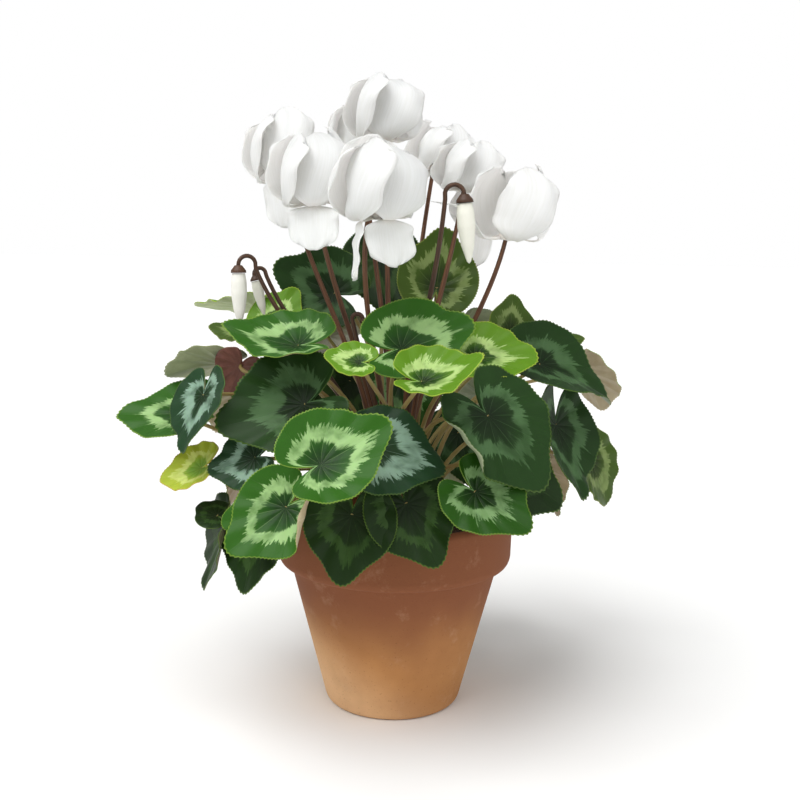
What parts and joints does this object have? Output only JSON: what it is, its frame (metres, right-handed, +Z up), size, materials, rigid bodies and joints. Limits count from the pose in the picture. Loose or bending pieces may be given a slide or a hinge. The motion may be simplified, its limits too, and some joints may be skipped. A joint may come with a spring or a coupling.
{
  "type": "potted cyclamen",
  "caption": "Potted cyclamen: marbled heart-shaped leaves and white swept-back blooms on hooked stems over a tapered terracotta pot with a thick collar.",
  "frame": {"origin": "on the floor under the middle of the pot, at the lowest point of the base", "axes": "+Z up along the pot's axis; -Y is the plant's front, +X its right as seen from the front"},
  "size_m": [0.3149, 0.2734, 0.3705],
  "materials": {
    "terracotta": "matte",
    "soil": "matte",
    "tuber": "matte",
    "petal": "satin",
    "flower_stem": "satin",
    "leaf_dark": "satin",
    "leaf_blue": "satin",
    "leaf_green": "satin",
    "leaf_lime": "satin",
    "leaf_olive": "satin",
    "leaf_yellow": "satin",
    "leaf_red": "satin"
  },
  "bodies": {
    "root": {"pot": "terracotta", "soil": "soil", "tuber": "tuber", "leaf_front_heart": "leaf_green", "leaf_front_blue": "leaf_blue", "leaf_rim": "leaf_dark", "leaf_low_right": "leaf_green", "leaf_front_large": "leaf_dark", "leaf_under_large": "leaf_dark", "leaf_dark_hollow": "leaf_dark", "leaf_far_right": "leaf_olive", "leaf_right_large": "leaf_dark", "leaf_lime_right": "leaf_lime", "leaf_lime_cup": "leaf_lime", "leaf_front_silver": "leaf_green", "leaf_flat_left": "leaf_green", "leaf_large_left": "leaf_dark", "leaf_round_left": "leaf_blue", "leaf_far_left": "leaf_green", "leaf_yellow": "leaf_yellow", "leaf_dark_left": "leaf_blue", "leaf_folded": "leaf_green", "leaf_low_left": "leaf_dark", "leaf_grey_left": "leaf_olive", "leaf_burgundy": "leaf_red", "leaf_lime_left": "leaf_lime", "leaf_upper_left": "leaf_dark", "leaf_upper_right": "leaf_olive", "leaf_back_far_right": "leaf_green", "leaf_back_right": "leaf_dark", "leaf_back_middle": "leaf_green", "leaf_back_left": "leaf_dark", "leaf_back_far_left": "leaf_green", "leaf_back_high_left": "leaf_dark", "leaf_back_high_right": "leaf_dark", "bloom_far_left_petals": "petal", "bloom_far_left_stem": "flower_stem", "bloom_left_petals": "petal", "bloom_left_stem": "flower_stem", "bloom_top_petals": "petal", "bloom_top_stem": "flower_stem", "bloom_back_left_petals": "petal", "bloom_back_left_stem": "flower_stem", "bloom_centre_petals": "petal", "bloom_centre_stem": "flower_stem", "bloom_back_right_petals": "petal", "bloom_back_right_stem": "flower_stem", "bloom_right_petals": "petal", "bloom_right_stem": "flower_stem", "bloom_far_right_petals": "petal", "bloom_far_right_stem": "flower_stem", "bloom_low_back_petals": "petal", "bloom_low_back_stem": "flower_stem", "bud_far_left_petals": "petal", "bud_far_left_stem": "flower_stem", "bud_left_petals": "petal", "bud_left_stem": "flower_stem", "bud_right_petals": "petal", "bud_right_stem": "flower_stem", "bud_spent": "flower_stem"}
  },
  "joints": []
}
